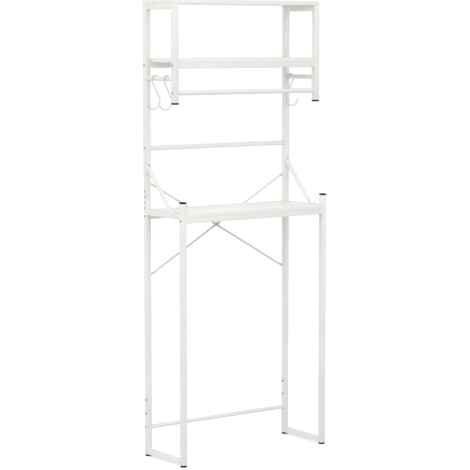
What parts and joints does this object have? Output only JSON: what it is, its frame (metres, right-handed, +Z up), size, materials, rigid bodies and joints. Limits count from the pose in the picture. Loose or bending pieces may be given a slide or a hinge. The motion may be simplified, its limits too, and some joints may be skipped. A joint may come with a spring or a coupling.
{
  "type": "over-toilet storage rack",
  "caption": "Tall open rack that stands over a toilet, with shelves above it, round towel bars, a crossed back brace and hooks on side rods.",
  "frame": {"origin": "centre of the footprint, hooks and back brace included, on the floor under the feet", "axes": "+Z up, +X to the right as seen from the open front, -Y towards the front, where the lower shelf stands out"},
  "size_m": [0.7022, 0.2522, 1.647],
  "materials": {
    "frame_tube": "white powder coat",
    "round_bar": "white powder coat",
    "brace_steel": "white powder coat",
    "shelf_board": "white melamine-faced board",
    "black_cap": "matt moulded plastic",
    "foot_rubber": "matt moulded plastic",
    "sleeve_steel": "zinc plated",
    "nylon_insert": "moulded nylon",
    "collar_plastic": "moulded plastic",
    "screw_zinc": "zinc plated",
    "hook_wire": "white powder coat"
  },
  "bodies": {
    "rack": {"left_lower_rear_post": "frame_tube", "left_lower_front_post": "frame_tube", "left_bottom_runner": "frame_tube", "left_shelf_side_rail": "frame_tube", "left_upper_rear_post": "frame_tube", "left_top_bar": "frame_tube", "left_drop_post": "frame_tube", "right_lower_rear_post": "frame_tube", "right_lower_front_post": "frame_tube", "right_bottom_runner": "frame_tube", "right_shelf_side_rail": "frame_tube", "right_upper_rear_post": "frame_tube", "right_top_bar": "frame_tube", "right_drop_post": "frame_tube", "lower_shelf_front_rail": "frame_tube", "lower_shelf_rear_rail": "frame_tube", "middle_shelf_front_rail": "frame_tube", "middle_shelf_rear_rail": "frame_tube", "rear_stabiliser_bar": "round_bar", "rear_towel_bar": "round_bar", "front_towel_bar": "round_bar", "left_hook_rod": "round_bar", "right_hook_rod": "round_bar", "falling_brace_rod": "brace_steel", "rising_brace_rod": "brace_steel", "left_strut": "brace_steel", "right_strut": "brace_steel", "lower_shelf_board": "shelf_board", "middle_shelf_board": "shelf_board", "top_shelf_board": "shelf_board", "left_front_post_cap": "black_cap", "left_drop_post_cap": "black_cap", "right_front_post_cap": "black_cap", "right_drop_post_cap": "black_cap", "left_post_sleeve": "sleeve_steel", "right_post_sleeve": "sleeve_steel", "foot_inserts": "nylon_insert", "rail_end_inserts": "nylon_insert", "bar_end_inserts": "nylon_insert", "hook_rod_collars": "collar_plastic", "sleeve_screws": "screw_zinc", "shelf_rail_bolts": "screw_zinc", "bar_bolts": "screw_zinc", "hook_rod_bolts": "screw_zinc", "board_screws": "screw_zinc", "brace_screws": "screw_zinc", "strut_screws": "screw_zinc", "brace_centre_bolt": "screw_zinc"},
    "left_rear_s_hook": {"left_rear_s_hook": "hook_wire"},
    "left_front_s_hook": {"left_front_s_hook": "hook_wire"},
    "right_s_hook": {"right_s_hook": "hook_wire"},
    "left_front_foot": {"left_front_foot": "foot_rubber"},
    "left_rear_foot": {"left_rear_foot": "foot_rubber"},
    "right_front_foot": {"right_front_foot": "foot_rubber"},
    "right_rear_foot": {"right_rear_foot": "foot_rubber"}
  },
  "joints": [
    {"name": "left_rear_hook_slide", "type": "slide", "parent": "rack", "child": "left_rear_s_hook", "axis": [0, 1, 0], "range_m": [-0.035, 0.036]},
    {"name": "left_front_hook_slide", "type": "slide", "parent": "rack", "child": "left_front_s_hook", "axis": [0, 1, 0], "range_m": [-0.037, 0.035]},
    {"name": "right_hook_slide", "type": "slide", "parent": "rack", "child": "right_s_hook", "axis": [0, 1, 0], "range_m": [-0.134, 0.014]},
    {"name": "left_front_foot_level", "type": "slide", "parent": "rack", "child": "left_front_foot", "axis": [0, 0, -1], "range_m": [0, 0.009]},
    {"name": "left_rear_foot_level", "type": "slide", "parent": "rack", "child": "left_rear_foot", "axis": [0, 0, -1], "range_m": [0, 0.009]},
    {"name": "right_front_foot_level", "type": "slide", "parent": "rack", "child": "right_front_foot", "axis": [0, 0, -1], "range_m": [0, 0.009]},
    {"name": "right_rear_foot_level", "type": "slide", "parent": "rack", "child": "right_rear_foot", "axis": [0, 0, -1], "range_m": [0, 0.009]}
  ]
}
